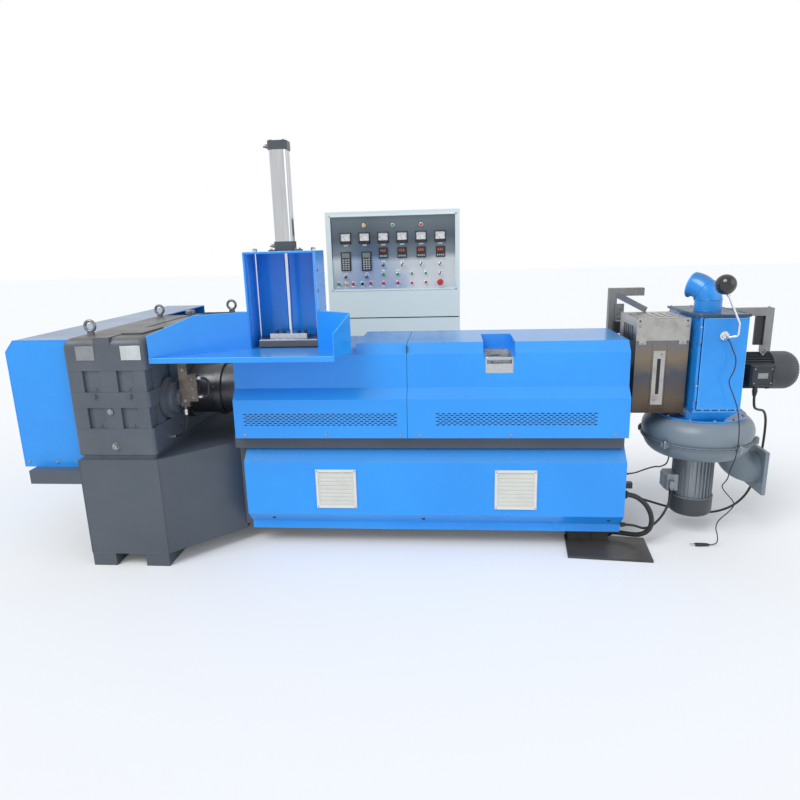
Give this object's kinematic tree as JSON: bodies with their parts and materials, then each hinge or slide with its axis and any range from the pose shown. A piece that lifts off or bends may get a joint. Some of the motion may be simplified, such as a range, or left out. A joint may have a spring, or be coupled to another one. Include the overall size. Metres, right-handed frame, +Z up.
{
  "type": "plastic extruder",
  "caption": "Blue plastic extruder with a ram-fed hopper tray, covered barrel, air-cooled cutter chamber with a hinged door, side blower and a separate control cabinet.",
  "frame": {"origin": "on the floor below the middle of the bounding box of the whole plant", "axes": "+X along the barrel from the gearbox to the die head, +Y from the operator to the cabinet, +Z up"},
  "size_m": [3.737, 2.39, 1.969],
  "materials": {
    "blue_paint": "satin",
    "dark_paint": "satin",
    "gearbox_paint": "satin",
    "motor_paint": "satin",
    "blower_paint": "satin",
    "bright_steel": "polished",
    "brushed_sheet": "satin",
    "white_plastic": "satin",
    "cabinet_paint": "satin",
    "rubber": "matte",
    "black_plastic": "matte"
  },
  "bodies": {
    "machine": {"air_grilles": "white_plastic", "barrel_cover_left": "blue_paint", "barrel_cover_right": "blue_paint", "base_panels": "blue_paint", "bearing_cap": "gearbox_paint", "belt_guard": "blue_paint", "black_fittings": "black_plastic", "blower_cable": "rubber", "blower_casing": "blower_paint", "blower_chute": "blue_paint", "blower_motor": "blower_paint", "blower_outlet": "blower_paint", "breather_cap": "bright_steel", "chamber_lid": "blue_paint", "control_cabinet": "cabinet_paint", "cutter_bracket": "brushed_sheet", "cutter_cable": "rubber", "cutter_chamber": "blue_paint", "cutter_head": "bright_steel", "cutter_motor": "motor_paint", "cutter_terminal_box": "motor_paint", "cylinder_heads": "gearbox_paint", "cylinder_tube": "bright_steel", "die_box_plates": "brushed_sheet", "die_bracket": "brushed_sheet", "die_flanges": "brushed_sheet", "die_head_box": "brushed_sheet", "door_hinges": "blue_paint", "drive_belts": "rubber", "drive_pulleys": "brushed_sheet", "end_foot": "dark_paint", "feed_barrel": "gearbox_paint", "feed_throat": "brushed_sheet", "gearbox_lower": "gearbox_paint", "gearbox_upper": "gearbox_paint", "guide_rods": "bright_steel", "hopper_tray": "blue_paint", "instrument_panel": "brushed_sheet", "lid_elbow": "blue_paint", "lifting_eyes": "bright_steel", "link_cable": "rubber", "main_base": "blue_paint", "main_motor": "dark_paint", "motor_fan_covers": "dark_paint", "oil_drain_hose": "rubber", "oil_union": "brushed_sheet", "panel_instruments": "black_plastic", "pedestal": "dark_paint", "ram_housing": "blue_paint", "supply_cable": "rubber", "vent_port": "bright_steel"},
    "ram": {"ram_plate": "brushed_sheet", "ram_block": "brushed_sheet", "piston_rod": "bright_steel"},
    "door": {"chamber_door": "blue_paint", "lamp_neck": "rubber", "lamp_head": "black_plastic", "lamp_cord": "rubber", "lamp_plug": "black_plastic"}
  },
  "joints": [
    {"name": "ram_slide", "type": "slide", "parent": "machine", "child": "ram", "axis": [0, 0, 1], "range_m": [0, 0.35]},
    {"name": "chamber_door", "type": "hinge", "parent": "machine", "child": "door", "pos_m": [1.334, -0.925, 0.92], "axis": [0, 0, -1], "range_deg": [0, 100]}
  ]
}
